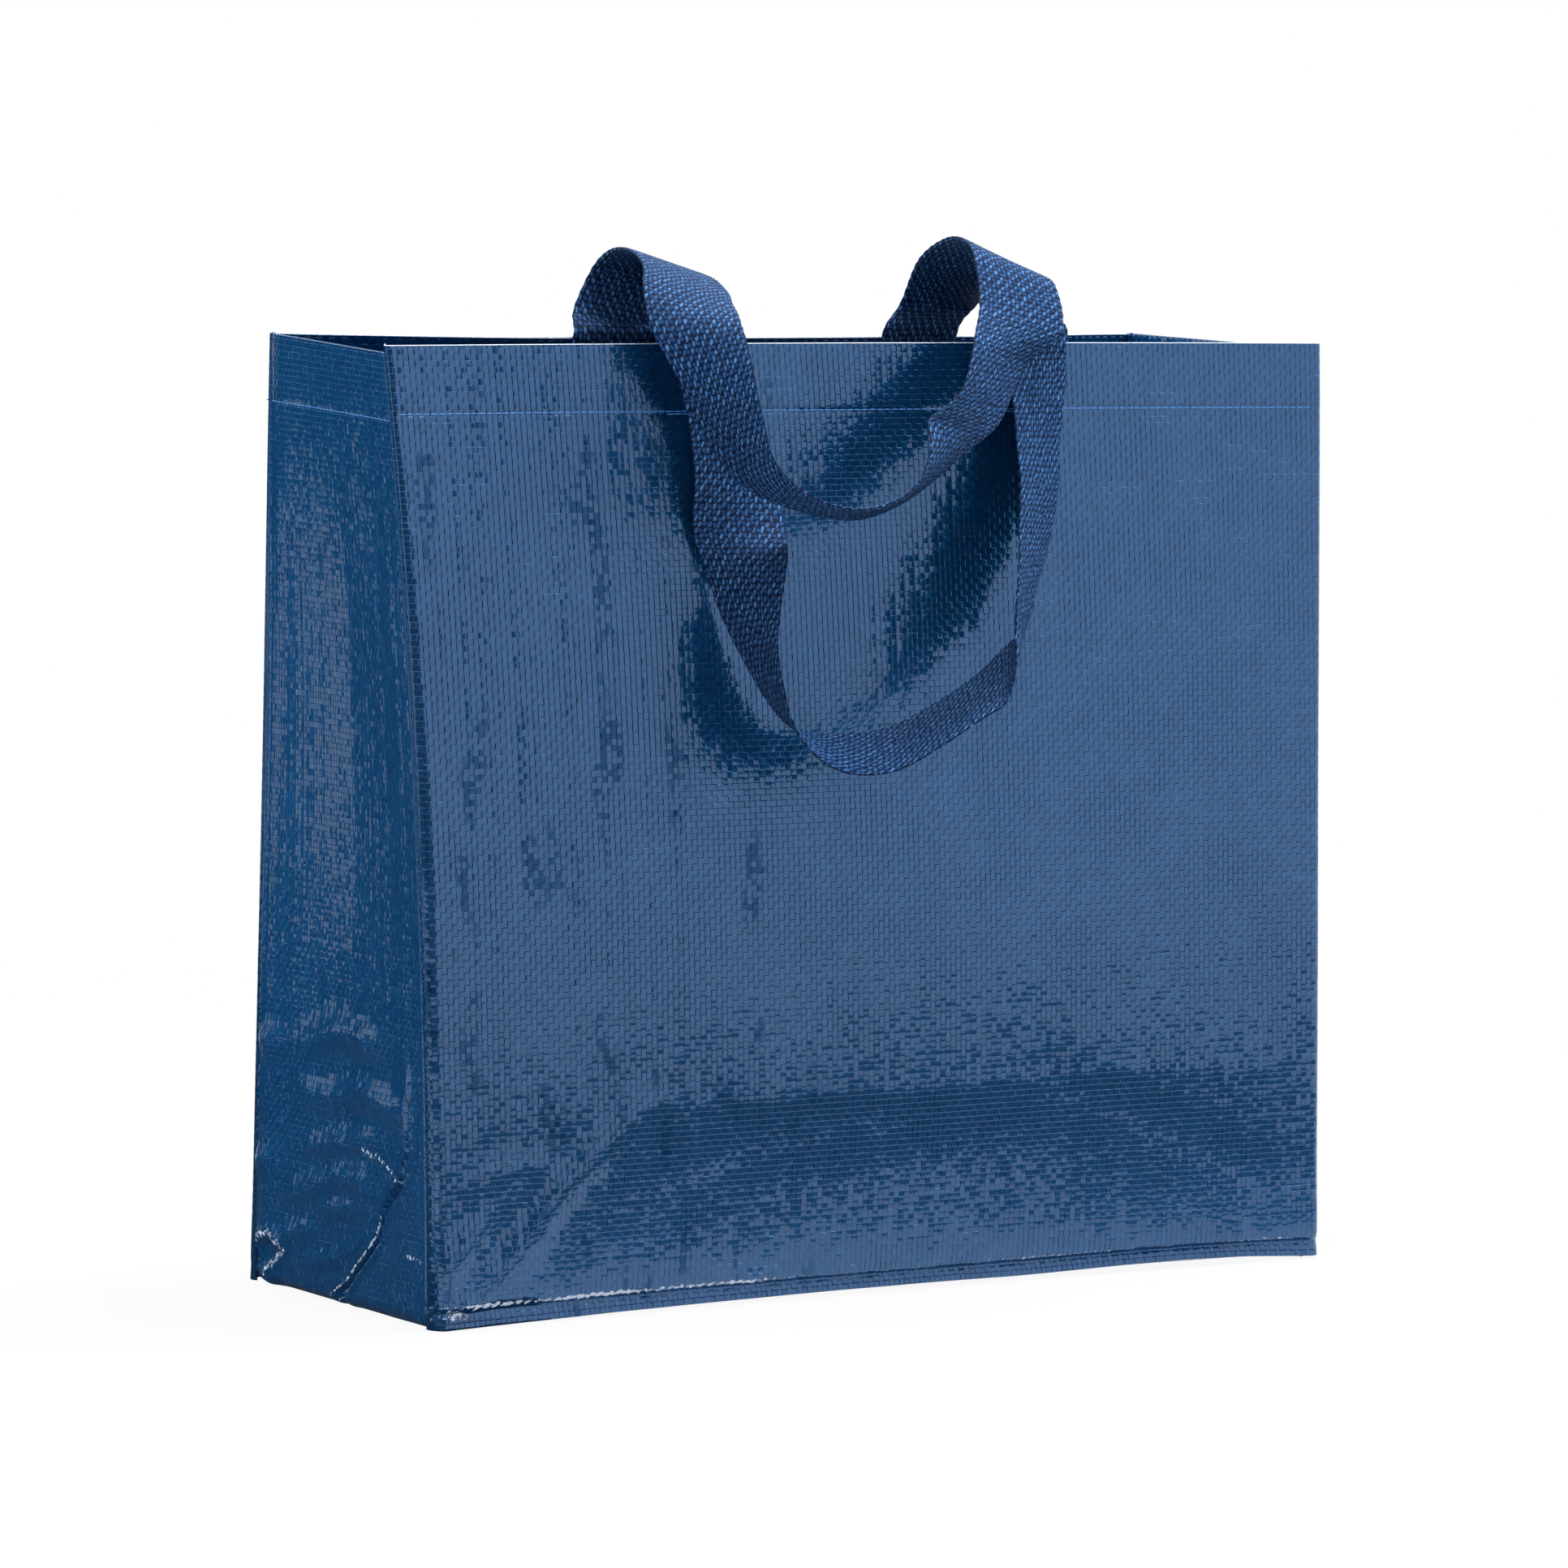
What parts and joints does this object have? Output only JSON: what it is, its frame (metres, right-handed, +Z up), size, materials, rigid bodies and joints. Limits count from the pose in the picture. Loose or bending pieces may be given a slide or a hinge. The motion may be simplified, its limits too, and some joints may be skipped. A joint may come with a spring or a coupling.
{
  "type": "laminated shopping bag",
  "caption": "Open-topped rectangular shopping bag of glossy woven laminate with a hemmed mouth, pinched bottom seams and flat webbing carry handles hanging over its front.",
  "frame": {"origin": "middle of the base's underside, where the bag stands on the floor", "axes": "+X to the right along the front panel, +Y from the front panel to the back panel, +Z up towards the mouth"},
  "size_m": [0.438, 0.2262, 0.4432],
  "materials": {
    "laminate": "glossy film over plain-woven blue tape",
    "webbing": "coarse woven blue webbing"
  },
  "bodies": {
    "root": {"front_panel": "laminate", "back_panel": "laminate", "side_and_base_strip": "laminate", "front_handle": "webbing", "back_handle": "webbing"}
  },
  "joints": []
}
